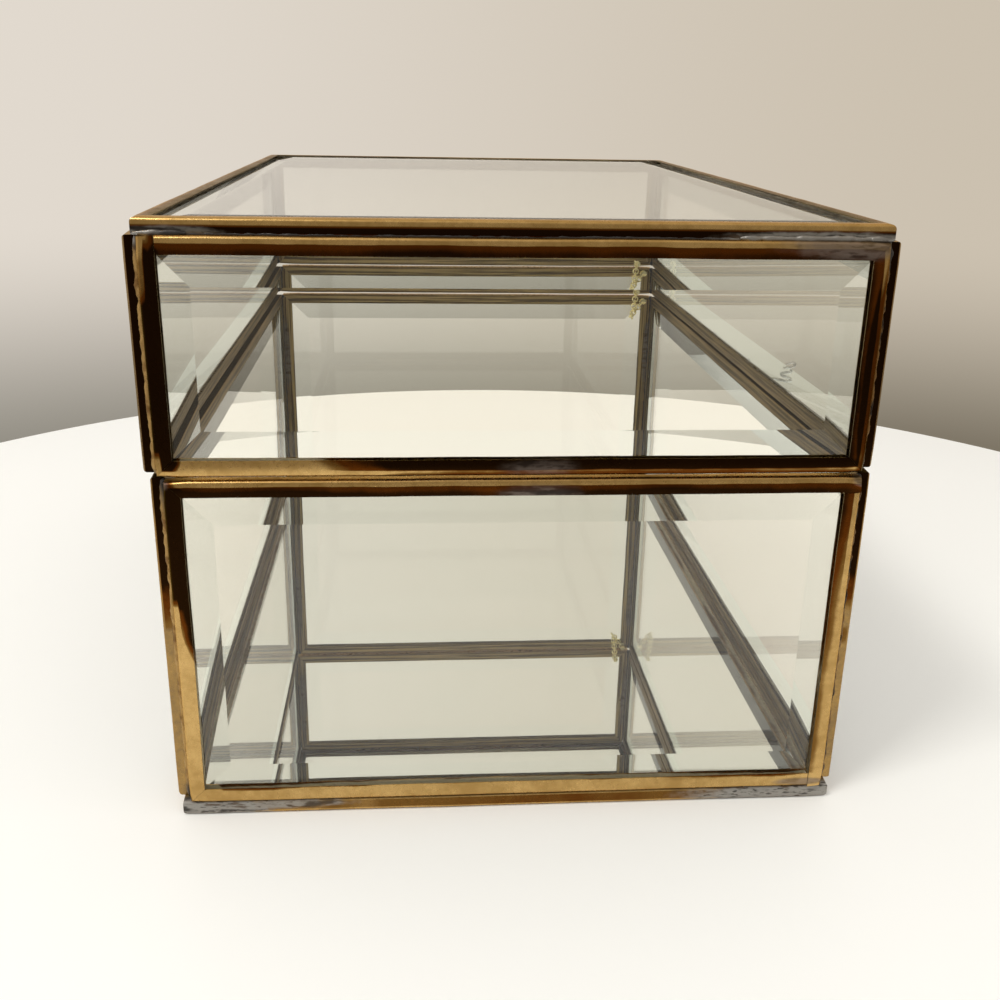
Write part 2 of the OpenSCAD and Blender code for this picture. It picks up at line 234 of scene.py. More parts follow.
def aged_brass(name, tarnish, fold=(GOLD, OLD_GOLD), fold_wear_and_sheen=1.0, upper_fold_sheen=None, wear_and_reflection_spots=(), patches=(),
               lead=SOLDER, mottle=1.0, dim_front_facing_from=(-0.93, -0.995), fleck=0.5, floor=False, seam_patina_and_shade=False,
               inner=(HIDDEN_BROWN, HIDDEN_DARK), seed=0.0):
    """Folded brass with its patina and painted light: bright along the fold, brown on the face and black
    under its lip.

    tarnish is 0 for bare brass and 1 for black, fold the two colours of the bright fold, and worn how bright
    the folds are, from wear and a painted highlight. upper_fold_sheen is the two heights between which a
    plate that lies flat
    begins to be bright: painted light where it faces up, and wear on its front rail. rubbed are the ovals
    where the patina has come away and how far; those on the base also paint its lower strips light, a painted
    reflection of the table. patches are the ovals where solder, coloured lead, has run over it and how
    thickly, with black flecks fleck strong. mottle is how strong the clouds in the patina are.
    dim_front_facing_from is how squarely a folded back must face the front to be painted dark, a painted
    reflection of the dim front, at least and wholly. floor says that the panel lies flat in the bottom of the
    box, seam_patina_and_shade that its back is black and dull at the seam of the lid, dark patina and painted
    shade, and inner is the two colours inside the box. seed shifts the patterns.
    """
    f = Finish(name)
    strip = f.node("ShaderNodeUVMap", uv_map=STRIP_UV)
    # Metres from the folded back of the strip, on either face of it.
    layout = f.axis(Y, strip)
    sheltered = f.ease(layout, SHELTER * 0.5, SHELTER * 0.6)
    across = layout - sheltered * SHELTER
    broad = (f.noise(15, 2, shift=(seed, 0, 0)) - 0.5) * mottle
    cloud = (f.noise(75, 3, shift=(0, seed, 0)) - 0.5) * mottle
    grain = f.noise(520, 3, shift=(0, 0, seed)) - 0.5
    # A folded back that faces the front is painted darker, a painted reflection of the dim front; the rounded
    # edges beside it are not.
    dim_front_reflection = f.ease(f.axis(Y, f.facing()), *dim_front_facing_from) * f.ease(across, 0.9 * MM, 0.5 * MM)
    # Bright along the fold: wear, and a painted highlight on the rounded edge.
    wear_and_sheen = f.ease(across + cloud * (0.5 * MM), 2.1 * MM, 1.5 * MM, 0.0, fold_wear_and_sheen) * (1 - dim_front_reflection)
    if upper_fold_sheen is not None:
        # A flat plate is painted bright only above a height, a painted reflection where it faces up: its
        # front rail over all its width, with wear as well, and the other rails only along their fold.
        high = f.ease(f.axis(Z) + cloud * (0.4 * MM), *upper_fold_sheen)
        wear_and_sheen = high * f.math("MAXIMUM", wear_and_sheen * 0.5, f.ease(f.axis(Y), *FRONT_RAIL_Y))
    # The face is darker towards its lip: patina gathered there and a painted dim reflection.
    level = tarnish + f.ease(across, 1.8 * MM, 4.4 * MM) * 0.24 + broad * 0.6 + cloud * 0.3
    level = level + dim_front_reflection * 0.3 - wear_and_sheen * 0.95
    # At the seam between lid and base the backs are painted black and dull: dark patina and painted shade
    # between the two parts.
    if seam_patina_and_shade:
        seam_patina_and_shade_mask = f.ease(abs(f.axis(Z, f.facing())), 0.55, 0.85) * f.ease(abs(f.axis(Z) - SEAM_Z), *SEAM_REACH)
        level = level + seam_patina_and_shade_mask * 1.3
    # Ovals where the patina has come away, and on the base ovals of painted reflection; below 0 they darken.
    for centre, radii, ragged, soft, strength in wear_and_reflection_spots:
        level = level - f.spot(centre, radii, ragged, soft, 60) * strength
    level = f.clamp(level + grain * 0.05)
    bright = f.blend(f.ease(cloud * 1.1 + grain * 0.5, -0.28, 0.3), *fold)
    colour = f.blend(f.ease(level, *TO_OLIVE), bright, OLIVE)
    colour = f.blend(f.ease(level, *TO_BROWN), colour, RED_BROWN)
    colour = f.blend(f.ease(level, *TO_BLACK), colour, NEAR_BLACK)
    if floor:
        inside = f.ease(f.axis(Z, f.facing()), 0.4, 0.8)
    else:
        out_x = f.axis(X, f.facing()) * (f.axis(X) - MID_X) * PER_HALF_WIDTH
        out_y = f.axis(Y, f.facing()) * f.axis(Y) * PER_HALF_DEPTH
        inside = f.math("MAXIMUM", f.ease(out_x, *TURNED_IN), f.ease(out_y, *TURNED_IN))
    # The lip inside the box is dull, with long thin streaks from the rolling of the sheet.
    lengthwise = f.node("ShaderNodeMapping", {"Vector": strip, "Scale": STREAKS, "Location": (seed, seed, 0)})
    streak = f.node("ShaderNodeTexNoise", {"Vector": lengthwise, "Scale": 1.0, "Detail": 2.0})
    hidden = f.blend(f.ease(streak + cloud * 0.2, 0.60, 0.40), *inner)
    colour = f.blend(inside * f.ease(across, 0.5 * MM, 1.3 * MM, 0.6, 0.92), colour, hidden)
    # Where the glass covers bright brass it is pale with old polish.
    colour = f.blend(sheltered * f.ease(level, 0.45, 0.2), colour, PALE_BRASS)
    rough = f.ease(f.noise(900, 2) + cloud, 0.2, 0.8, 0.24, 0.34) + inside * 0.18
    # The rolled sheet is crowned a little: highest beside its fold, falling away to the lip.
    crown = (across - 1.6 * MM) * (1 / MM)
    # A folded back is stretched flat, so it has less of the waves.
    waves = f.ease(across, 0.3 * MM, 1.3 * MM, 0.03, 0.17) - inside * 0.03
    height = grain * 0.007 + cloud * waves - crown * crown * 0.03
    if patches:
        covered = 0.0
        for *oval, amount in patches:
            covered = f.math("MAXIMUM", covered, f.spot(*oval) * amount)
        # Drawn out along the strip, with long smears of flux.
        smear = f.noise(230, 3, (0.13, 0.5, 1.6), (0, 0, seed)) * 0.6 + f.noise(420, 4, (0.45, 1, 1.2)) * 0.4
        tin = f.blend(f.ease(smear, 0.40, 0.47), FLUX_BROWN, lead)
        tin = f.blend(f.ease(smear, 0.51, 0.60) * 0.9, tin, FLUX_BLACK)
        tin = f.blend(f.ease(f.noise(980, 4, (0.32, 1, 1.3)), 0.55, 0.64) * fleck, tin, FLUX_BLACK)
        colour = f.blend(covered, colour, tin)
        rough = rough + covered * (0.16 + smear * 0.1)
        height = height + covered * 0.08 + covered * smear * 0.35
    if seam_patina_and_shade:
        height = height * (1 - seam_patina_and_shade_mask)
        rough = f.ease(seam_patina_and_shade_mask, 0.0, 1.0, rough, 0.6)
    f.surface(f.principled({
        "Base Color": colour,
        "Metallic": 1.0 - f.math("MAXIMUM", sheltered * 0.95, inside * 0.6),
        "Roughness": rough,
        "Specular Tint": (0.93, 0.74, 0.50),
        "Normal": f.bump(height, 1 * MM, 0.8),
    }))
    return f.material


def wire_finish(name, colour, dull, rough, metallic=1.0):
    """Wire or tube that is clean in some places and dull in others."""
    f = Finish(name)
    mottle = f.noise(420, 4)
    f.surface(f.principled({
        "Base Color": f.blend(f.ease(mottle, 0.42, 0.7), colour, dull),
        "Metallic": metallic,
        "Roughness": f.ease(mottle, 0.3, 0.7, rough, rough + 0.16),
        "Normal": f.bump(mottle, 0.00008),
    }))
    return f.material


def solder_finish(name, dirty, clean=(), browned=()):
    """Dull grey solder with black flux in its hollows and small painted glints on bright facets.

    dirty is how much of it the flux covers. clean are the ovals where it doesn't, and browned the ovals
    with the patina's two colours.
    """
    f = Finish(name)
    lump, grain = f.noise(190, 5), f.noise(1100, 4)
    dirt = f.ease(lump + (grain - 0.5) * 0.5, dirty + 0.12, dirty - 0.12)
    for oval in clean:
        dirt = dirt * (1 - f.spot(*oval) * 0.85)
    # Small bright specks are painted glints.
    painted_glint = f.ease(grain, 0.64, 0.72)
    colour = f.blend(painted_glint * (1 - dirt * 0.7), f.blend(dirt, SOLDER, FLUX_BLACK), BRIGHT_SOLDER)
    for *oval, light, dark in browned:
        colour = f.blend(f.spot(*oval), colour, f.blend(f.ease(lump, 0.45, 0.6), light, dark))
    f.surface(f.principled({
        "Base Color": colour,
        "Metallic": 1.0 - dirt * 0.4,
        "Roughness": f.ease(grain, 0.3, 0.7, 0.38, 0.56),
        "Normal": f.bump(lump * 0.6 + grain * 0.2, 0.0004),
    }))
    return f.material


def clear_glass():
    """Old plate glass, a little green, and greener where its ground bevels gather the light."""
    f = Finish("bevelled_plate")
    haze = f.noise(60, 4)
    facing = [abs(f.axis(way, f.facing())) for way in (X, Y, Z)]
    flat = f.math("MAXIMUM", f.math("MAXIMUM", facing[X], facing[Y]), facing[Z])
    plate = f.blend(haze, (0.955, 0.968, 0.94), (0.97, 0.98, 0.955))
    # The long way through a side pane shows most of it.
    bevel = f.blend(f.ease(facing[X], 0.90, 0.95), (0.925, 0.962, 0.94), (0.77, 0.915, 0.895))
    f.surface(f.principled({
        "Base Color": f.blend(f.ease(flat, 0.9975, 0.9965), plate, bevel),
        "Roughness": 0.0,
        "IOR": 1.5,
        "Transmission Weight": 1.0,
    }))
    return f.material


def silvered_glass():
    """A clear mirror with a faint cloudiness and a few dark specks in its silver."""
    f = Finish("silvered_plate")
    cloud, speck = f.noise(24, 4), f.noise(700, 3)
    silvering = f.blend(cloud, (0.84, 0.87, 0.85), (0.88, 0.89, 0.87))
    f.surface(f.principled({
        "Base Color": f.blend(f.ease(speck, 0.74, 0.8), silvering, (0.2, 0.2, 0.19)),
        "Metallic": 1.0,
        "Roughness": f.ease(cloud, 0.3, 0.8, 0.008, 0.02),
    }))
    return f.material


# The middles of the front's upright strips, and its face.
LEFT, RIGHT, FRONT_Y = MID_X - 97.8 * MM, MID_X + 98.2 * MM, -152.4 * MM
# Ovals on the box: the middle, the radii, how ragged and how soft the edge is, and how strong it is.
# Where an oval's strength is below 0 the colour is darker.
solder_on_lid_front = (
    ((RIGHT - 10 * MM, FRONT_Y, 0.1702), (0.019, 0.008, 0.0036), 0.35, 0.8, 0.8),
    ((MID_X + 5.6 * MM, FRONT_Y, 0.1096), (0.009, 0.006, 0.0022), 0.4, 1.0, 0.35),
)
solder_on_base_front = (
    ((MID_X + 5.6 * MM, FRONT_Y, 0.1022), (0.0095, 0.006, 0.0022), 0.3, 1.0, 0.55),
    ((RIGHT - 8.2 * MM, FRONT_Y, 0.0062), (0.0085, 0.006, 0.0012), 0.4, 0.7, 0.7),
    ((LEFT - 0.6 * MM, FRONT_Y, 0.1052), (0.003, 0.004, 0.002), 0.4, 0.6, 0.7),
    ((RIGHT - 1 * MM, FRONT_Y, 0.1052), (0.003, 0.004, 0.002), 0.4, 0.6, 0.7),
)
solder_on_floor = (
    ((LEFT + 2 * MM, FRONT_Y, 0.002), (0.022, 0.004, 0.008), 0.4, 0.4, 1.0),
    ((LEFT + 30 * MM, FRONT_Y, 0.0032), (0.017, 0.004, 0.0016), 0.5, 0.7, 0.85),
    ((RIGHT - 6 * MM, FRONT_Y, 0.002), (0.036, 0.004, 0.0075), 0.4, 0.6, 1.0),
)
solder_on_lid_top = (
    ((LEFT + 7 * MM, -0.1499, 0.1713), (0.013, 0.004, 0.0018), 0.4, 0.6, 0.6),
    ((RIGHT - 20 * MM, -0.1499, 0.1711), (0.026, 0.004, 0.0018), 0.3, 0.6, 1.0),
)
solder_on_rear = tuple(((x, 0.1484, z), (0.0022, 0.004, tall), 0.4, 0.6, 0.8)
                       for x in (LEFT + 2 * MM, RIGHT - 2 * MM) for z, tall in ((0.075, 0.018), (0.14, 0.02)))
rubbed_lid_front = (
    ((LEFT + 6 * MM, FRONT_Y, 0.1088), (0.048, 0.010, 0.0048), 0.35, 0.9, 1.15),
    ((LEFT + 0.6 * MM, FRONT_Y, 0.135), (0.008, 0.010, 0.034), 0.15, 0.3, -1.5),
    ((MID_X + 20 * MM, FRONT_Y, 0.1070), (0.105, 0.010, 0.0048), 0.3, 0.5, -0.34),
    ((MID_X + 34 * MM, FRONT_Y, 0.1060), (0.100, 0.010, 0.0026), 0.3, 0.6, -0.60),
    ((LEFT - 1 * MM, FRONT_Y, 0.166), (0.0045, 0.010, 0.012), 0.4, 0.6, 0.85),
    ((RIGHT, FRONT_Y, 0.137), (0.0045, 0.010, 0.036), 0.15, 0.5, -1.1),
    ((RIGHT - 3.4 * MM, FRONT_Y, 0.139), (0.0034, 0.010, 0.032), 0.3, 0.9, 0.17),
)
# The base's lower strips are painted gold, wear and a painted reflection of the white table; higher up its
# left upright is painted darker, a painted dim reflection.
worn_and_table_lit_base_front = (
    ((MID_X, FRONT_Y, 0.0045), (0.150, 0.010, 0.0052), 0.2, 0.3, 0.9),
    ((LEFT, FRONT_Y, 0.010), (0.010, 0.010, 0.0585), 0.2, 0.25, 1.0),
    ((LEFT + 0.6 * MM, FRONT_Y, 0.087), (0.008, 0.010, 0.019), 0.2, 0.35, -1.2),
    ((RIGHT, FRONT_Y, 0.018), (0.010, 0.010, 0.068), 0.2, 1.1, 0.64),
)
# The front of the base's sides is painted gold low down: wear and a painted reflection of the table.
worn_and_table_lit_base_sides = (((MID_X, -0.156, -0.004), (0.3, 0.02, 0.080), 0.3, 0.4, 1.25),)
rubbed_lid_top = (((MID_X, 0.150, 0.1745), (0.110, 0.006, 0.006), 0.2, 0.4, 0.7),)
# These have no strength, and the browned ones end with their two colours.
clean_solder = (
    ((RIGHT - 22 * MM, -0.151, 0.1706), (0.026, 0.006, 0.0022), 0.4, 0.5),
    ((LEFT - 1 * MM, -0.151, 0.1706), (0.006, 0.006, 0.0022), 0.4, 0.8),
)
browned_solder = (
    ((LEFT - 2 * MM, -0.150, 0.137), (0.006, 0.008, 0.031), 0.1, 0.2, OLD_GOLD, OLIVE),
    ((RIGHT + 2 * MM, -0.150, 0.137), (0.006, 0.008, 0.031), 0.1, 0.2, OLIVE, NEAR_BLACK),
    ((LEFT - 2 * MM, -0.150, 0.055), (0.006, 0.008, 0.052), 0.1, 0.2, OLD_GOLD, OLIVE),
    ((RIGHT + 2 * MM, -0.150, 0.055), (0.006, 0.008, 0.052), 0.1, 0.2, OLIVE, NEAR_BLACK),
)

lid_front_brass = aged_brass("lid_front_brass", 0.70, wear_and_reflection_spots=rubbed_lid_front, patches=solder_on_lid_front,
                             lead=BROWN_SOLDER, seed=3.1)
lid_top_brass = aged_brass("lid_top_brass", 0.76, upper_fold_sheen=(0.1724, 0.1736), wear_and_reflection_spots=rubbed_lid_top,
                           patches=solder_on_lid_top, seed=2.3)
lid_brass = aged_brass("lid_brass", 0.74, (TAN, OLD_TAN), 0.8, mottle=0.5, dim_front_facing_from=(-0.86, -0.97),
                       seam_patina_and_shade=True, seed=6.4)
base_front_brass = aged_brass("base_front_brass", 0.74, wear_and_reflection_spots=worn_and_table_lit_base_front,
                              patches=solder_on_base_front, lead=BROWN_SOLDER, seed=7.7)
base_brass = aged_brass("base_brass", 0.74, (OLD_GOLD, OLD_TAN), 0.8, wear_and_reflection_spots=worn_and_table_lit_base_sides, mottle=0.5,
                        dim_front_facing_from=(-0.86, -0.97), seam_patina_and_shade=True, seed=4.4)
rear_brass = aged_brass("rear_brass", 0.80, (OLD_GOLD, OLD_TAN), 0.8, patches=solder_on_rear,
                        lead=DARK_SOLDER, mottle=0.5, inner=(HIDDEN_GOLD, HIDDEN_OLIVE), seed=8.2)
# The floor's came is nearly bare brass; its gold front is also a painted reflection of the white table.
floor_brass = aged_brass("floor_brass", 0.12, patches=solder_on_floor, fleck=0.8, floor=True, seed=1.3)
tube_brass = wire_finish("tube_brass", (0.13, 0.075, 0.03), (0.02, 0.012, 0.008), 0.3)
bright_wire = wire_finish("bright_wire", (1.0, 0.90, 0.50), (0.90, 0.74, 0.32), 0.2, 0.5)
grey_wire = wire_finish("grey_wire", (0.76, 0.74, 0.70), (0.34, 0.33, 0.315), 0.22)
solder = solder_finish("grey_solder", 0.42)
black_solder = solder_finish("black_solder", 0.80, clean_solder, browned_solder)
glass = clear_glass()
silver = silvered_glass()


def coat(obj, material):
    obj.data.materials.clear()
    obj.data.materials.append(material)


for node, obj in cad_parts.items():
    if node.endswith("glass"):
        finish = glass
    elif node == "base_mirror":
        finish = silver
    elif node.endswith("rings") or node.endswith("post"):
        finish = bright_wire
    elif node.startswith("hinge_tube"):
        finish = tube_brass
    elif node.startswith("hinge_wire"):
        finish = grey_wire
    else:
        finish = solder
    for slot in obj.material_slots:
        slot.material = finish

# ---------------------------------------------------------------- work on a mesh


def block(lo, hi):
    """A plain block between two corners, alone in the selection."""
    bpy.ops.object.select_all(action="DESELECT")
    lo, hi = Vector(lo), Vector(hi)
    bpy.ops.mesh.primitive_cube_add(size=1, location=(lo + hi) / 2, scale=hi - lo)
    bpy.ops.object.transform_apply(location=True, rotation=True, scale=True)
    return bpy.context.object


def middle(part):
    return sum((v.co for v in part.verts), Vector()) / len(part.verts)


def choose(obj, kind, test):
    """Edit mode, with the points, edges or faces selected that pass the test."""
    bpy.ops.object.mode_set(mode="EDIT")
    bpy.ops.mesh.select_mode(type=kind)
    bpy.ops.mesh.select_all(action="DESELECT")
    mesh = bmesh.from_edit_mesh(obj.data)
    for part in {"VERT": mesh.verts, "EDGE": mesh.edges, "FACE": mesh.faces}[kind]:
        part.select_set(bool(test(part)))
    mesh.select_flush_mode()
    bmesh.update_edit_mesh(obj.data)


def leave_edit():
    bpy.ops.object.mode_set(mode="OBJECT")


def runs(edge, axis):
    """Whether an edge lies along an axis."""
    way = edge.verts[1].co - edge.verts[0].co
    return abs(way[axis]) > 0.99 * way.length


def modify(obj, kind, **settings):
    """Add a modifier and apply it."""
    made = obj.modifiers.new(kind.lower(), kind)
    for key, value in settings.items():
        setattr(made, key, value)
    bpy.context.view_layer.objects.active = obj
    bpy.ops.object.modifier_apply(modifier=made.name)


def clouds(name, size, depth=2):
    made = bpy.data.textures.new(name, "CLOUDS")
    made.noise_scale, made.noise_depth = size, depth
    return made


def join(pieces, name):
    bpy.ops.object.select_all(action="DESELECT")
    for piece in pieces:
        piece.select_set(True)
    bpy.context.view_layer.objects.active = pieces[0]
    bpy.ops.object.join()
    pieces[0].name = pieces[0].data.name = name
    return pieces[0]


def smooth(obj, degrees):
    bpy.ops.object.select_all(action="DESELECT")
    obj.select_set(True)
    bpy.context.view_layer.objects.active = obj
    bpy.ops.object.shade_smooth_by_angle(angle=math.radians(degrees))


def place(obj, body, slot, finish, node):
    """Give a finished piece its look and its body, in the place of a node."""
    coat(obj, finish)
    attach(obj, body)
    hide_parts(node)


# ---------------------------------------------------------------- folded came

CAME_FACE = 4.8 * MM
CAME_WALL = 0.45 * MM
CAME_ROUND = 1.2 * MM
TIGHT_ROUND = 0.45 * MM
# Rings of points along a strip are this far apart.
RING_STEP = 6 * MM
# At a butt joint one strip stops this far from the other's flank.
BUTT_GAP = 0.12 * MM
# How much of each corner of a panel is its tip, and how far it is folded in.
TIP_REACH, TIP_FOLD = 1.3 * MM, 0.32 * MM
WAVE_HEIGHT, DENT_DEPTH = 0.36 * MM, 0.1 * MM
wave = clouds("wave", 34 * MM)
dent = clouds("dent", 7 * MM)


def came_strip(lo, hi, along, across, sign, cuts, flat, folds):
    """A length of U channel with its open side towards sign on the across axis, and a cut at each end.

    folds are the radii of the folds at the low and the high face of the panel, on its flat axis.
    """
    obj = block(lo, hi)
    obj.data.uv_layers.remove(obj.data.uv_layers[0])
    rear = lo[across] if sign > 0 else hi[across]
    window = hi[across] if sign > 0 else lo[across]
    choose(obj, "EDGE", lambda e: runs(e, along))
    bpy.ops.mesh.subdivide(number_cuts=int((hi[along] - lo[along]) / RING_STEP) - 1)
    for end, way, cut in zip((lo[along], hi[along]), (1, -1), cuts):
        if cut == "mitre":
            choose(obj, "VERT", lambda v: (abs(v.co[along] - end) < SAME
                                           and abs(v.co[across] - window) < SAME))
            step = Vector()
            step[along] = way * CAME_FACE
            bpy.ops.transform.translate(value=step)
    for face, fold_r in zip((lo[flat], hi[flat]), folds):
        choose(obj, "EDGE", lambda e: (runs(e, along) and abs(middle(e)[across] - rear) < SAME
                                       and abs(middle(e)[flat] - face) < SAME))
        bpy.ops.mesh.bevel(offset=fold_r, segments=4, profile=0.5)
    choose(obj, "FACE", lambda f: f.normal[across] * sign > 0.5)
    bpy.ops.mesh.delete(type="FACE")
    leave_edit()
    # A flat layout in metres: along the strip, and across it from its folded back.
    layout = obj.data.uv_layers.new(name=STRIP_UV)
    for loop, spot in zip(obj.data.loops, layout.data):
        at = obj.data.vertices[loop.vertex_index].co
        spot.uv = (at[along], abs(at[across] - rear))
    return obj


def came(panel, flat, corners, body, slot, finish, folds):
    """The four strips round a panel. corners name the joint at each corner, from low-low to high-high."""
    lo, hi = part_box(panel + "_came")
    a, b = [axis for axis in (X, Y, Z) if axis != flat]
    strips = []
    for along, across in ((a, b), (b, a)):
        for side, sign in ((0, 1), (1, -1)):
            s_lo, s_hi = list(lo), list(hi)
            if side == 0:
                s_hi[across] = lo[across] + CAME_FACE
            else:
                s_lo[across] = hi[across] - CAME_FACE
            cuts = []
            for end in (0, 1):
                spot = (end, side) if along == a else (side, end)
                joint = corners[spot[0] + 2 * spot[1]]
                cuts.append("mitre" if joint == "mitre" else "square")
                # The strip that gives way at a butt joint stops at the flank of the other one.
                if joint != "mitre" and joint != ("a over" if along == a else "b over"):
                    if end == 0:
                        s_lo[along] += CAME_FACE + BUTT_GAP
                    else:
                        s_hi[along] -= CAME_FACE + BUTT_GAP
            strips.append(came_strip(s_lo, s_hi, along, across, sign, cuts, flat, folds))
    obj = join(strips, panel + "_brass")
    # The outer tips are folded round, not sharp.
    for i in range(4):
        tip = {a: (lo, hi)[i % 2][a], b: (lo, hi)[i // 2][b]}
        inward = Vector()
        inward[a], inward[b] = (1, -1)[i % 2], (1, -1)[i // 2]
        choose(obj, "VERT", lambda v: all(abs(v.co[way] - tip[way]) < TIP_REACH for way in (a, b)))
        bpy.ops.transform.translate(value=inward * TIP_FOLD)
    leave_edit()
    outer = len(obj.data.polygons)
    modify(obj, "SOLIDIFY", thickness=CAME_WALL, offset=-1, use_even_offset=True)
    # Solidify puts the inner wall's faces after the outer ones, in the same order, and the lips last.
    layout = obj.data.uv_layers[STRIP_UV].data
    for face in obj.data.polygons[outer:2 * outer]:
        for loop in face.loop_indices:
            layout[loop].uv.y += SHELTER
    for way in (a, b):
        modify(obj, "DISPLACE", texture=wave, direction="XYZ"[way], strength=WAVE_HEIGHT, mid_level=0.5)
    modify(obj, "DISPLACE", texture=dent, direction="NORMAL", strength=DENT_DEPTH, mid_level=1.0)
    smooth(obj, 40)
    place(obj, body, slot, finish, panel + "_came")


FOLDED = ("mitre",) * 4
# The axis that each panel is flat on, and its corners.
PANELS = {
    "base_front": (Y, ("mitre", "b over", "mitre", "a over")),
    "base_rear": (Y, FOLDED),
    "base_left": (X, FOLDED),
    "base_right": (X, ("b over", "mitre", "mitre", "mitre")),
    "base_floor": (Z, FOLDED),
    "lid_front": (Y, ("mitre", "mitre", "b over", "mitre")),
    "lid_rear": (Y, FOLDED),
    "lid_left": (X, FOLDED),
    "lid_right": (X, FOLDED),
    "lid_top": (Z, FOLDED),
}
PANEL_BRASS = {
    "base_front": base_front_brass,
    "base_rear": rear_brass,
    "base_floor": floor_brass,
    "lid_front": lid_front_brass,
    "lid_rear": rear_brass,
    "lid_top": lid_top_brass,
}
for panel, (flat, corners) in PANELS.items():
    if panel.startswith("lid"):
        body, slot, finish = "lid", "dark_brass", lid_brass
    else:
        body, slot, finish = "base", "old_brass", base_brass
    # Strips are folded tighter towards the inside, and the rear ones on both faces: their seam stays shut.
    if panel.endswith("rear"):
        folds = TIGHT_ROUND, TIGHT_ROUND
    elif panel.endswith(("right", "top")):
        folds = TIGHT_ROUND, CAME_ROUND
    else:
        folds = CAME_ROUND, TIGHT_ROUND
    came(panel, flat, corners, body, slot, PANEL_BRASS.get(panel, finish), folds)

# ---------------------------------------------------------------- mirror floor

SILVER_Z = 1.1 * MM
MIRROR_BEVEL = 0.3 * MM


def mirror_floor():
    """A silvered plate: what it mirrors shows as deep as through its glass, a little above its underside."""
    lo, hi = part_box("base_mirror")
    obj = block(lo, (hi[X], hi[Y], lo[Z] + SILVER_Z))
    choose(obj, "EDGE", lambda e: not runs(e, Z) and middle(e)[Z] > lo[Z] + SILVER_Z / 2)
    bpy.ops.mesh.bevel(offset=MIRROR_BEVEL, segments=2)
    leave_edit()
    obj.name = obj.data.name = "floor_mirror"
    place(obj, "base", "silvered", silver, "base_mirror")


mirror_floor()

# ---------------------------------------------------------------- solder and wire


def drawn(points, radius, swell=None):
    """A round run along the points, radius times swell thick at each."""
    curve = bpy.data.curves.new("run", "CURVE")
    curve.dimensions, curve.use_fill_caps = "3D", True
    curve.bevel_depth, curve.bevel_resolution, curve.resolution_u = radius, 4, 4
    spline = curve.splines.new("NURBS")
    spline.points.add(len(points) - 1)
    for spot, at, thick in zip(spline.points, points, swell or [1] * len(points)):
        spot.co, spot.radius = (*at, 1), thick
    spline.use_endpoint_u, spline.order_u = True, 3
    obj = bpy.data.objects.new("run", curve)
    bpy.context.collection.objects.link(obj)
    bpy.ops.object.select_all(action="DESELECT")
    obj.select_set(True)
    bpy.context.view_layer.objects.active = obj
    bpy.ops.object.convert(target="MESH")
    obj = bpy.context.object
    choose(obj, "VERT", lambda v: True)
    bpy.ops.mesh.remove_doubles(threshold=SAME)
    bpy.ops.mesh.normals_make_consistent(inside=False)
    leave_edit()
    return obj


lumps = clouds("lumps", 2.2 * MM, 3)
chance = random.Random(41)
SOLDER_STEP = 1.8 * MM


def solder_run(p, q, radius, wander=0.15 * MM):
    """Solder laid from p to q by hand: it swells, thins and wanders."""
    p, q = Vector(p), Vector(q)
    count = max(5, int((q - p).length / SOLDER_STEP))
    points, swell = [], []
    for i in range(count + 1):
        off = Vector([chance.uniform(-wander, wander) for _ in range(3)])
        points.append(p.lerp(q, i / count) + (off if 0 < i < count else Vector()))
        swell.append(0.35 if i in (0, count) else chance.uniform(0.72, 1.08))
    obj = drawn(points, radius, swell)
    modify(obj, "DISPLACE", texture=lumps, direction="NORMAL", strength=0.7 * radius, mid_level=0.62)
    return obj


def solder_drop(centre, radii):
    """A lumpy drop of solder."""
    bpy.ops.object.select_all(action="DESELECT")
    bpy.ops.mesh.primitive_uv_sphere_add(segments=32, ring_count=18, radius=1, location=centre, scale=radii)
    bpy.ops.object.transform_apply(location=True, rotation=True, scale=True)
    obj = bpy.context.object
    modify(obj, "DISPLACE", texture=lumps, direction="NORMAL", strength=0.6 * min(radii), mid_level=0.7)
    return obj


# Both corner runs and drops lie this far in from the outside of their node.
CORNER_INSET = 1.6 * MM
# The runs lie a little further out than the drops, and stop short of the panels' ends.
RUN_OUT, RUN_SHORT, RUN_R = 0.45 * MM, 0.4 * MM, 1.15 * MM
DROP_FROM_END, DROP_RADII = 0.9 * MM, (1.3 * MM, 1.3 * MM, 1.15 * MM)
# The bead under the lid's top plate: in from its edge, up from its underside, its radius and its wander.
BEAD_IN, BEAD_UP, BEAD_R, BEAD_WANDER = 0.5 * MM, 0.05 * MM, 0.62 * MM, 0.05 * MM
# The fill on the ledge in front of it: out from the plate and up from its underside.
LEDGE_OUT, LEDGE_UP = 0.3 * MM, 0.35 * MM
# Each run's ends and radius.
LEDGE_RUNS = (
    (LEFT - 1 * MM, LEFT + 12 * MM, 0.95 * MM),
    (RIGHT - 42 * MM, RIGHT - 1 * MM, 1.0 * MM),
)


